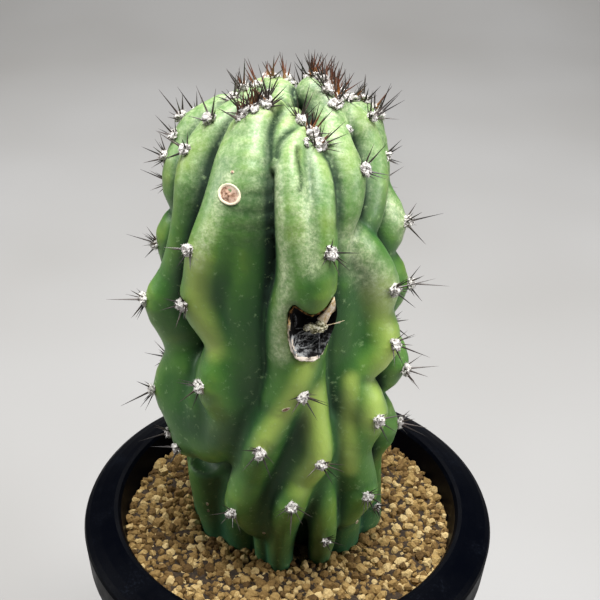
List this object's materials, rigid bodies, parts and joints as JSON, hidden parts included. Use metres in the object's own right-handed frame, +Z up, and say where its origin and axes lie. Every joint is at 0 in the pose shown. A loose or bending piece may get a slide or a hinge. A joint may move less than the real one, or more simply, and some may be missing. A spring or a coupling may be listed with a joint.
{
  "type": "potted cactus",
  "caption": "Monstrose columnar cereus with knobbly ribs, woolly areoles and dark spines, rooted in tan gravel in a round black plastic pot.",
  "frame": {"origin": "centre of the pot's base, on the surface that it stands on", "axes": "+Z up, the front of the plant with its corky wound towards -Y, +X to its right"},
  "size_m": [0.15, 0.15, 0.2956],
  "materials": {
    "pot_plastic": "black satin moulded plastic",
    "gravel": "dry tan fired-clay gravel, matte",
    "cactus_skin": "waxy green skin with pale bloom, grey wool and dark spines"
  },
  "bodies": {
    "root": {"pot": "pot_plastic", "soil": "gravel", "cactus": "cactus_skin"}
  },
  "joints": []
}
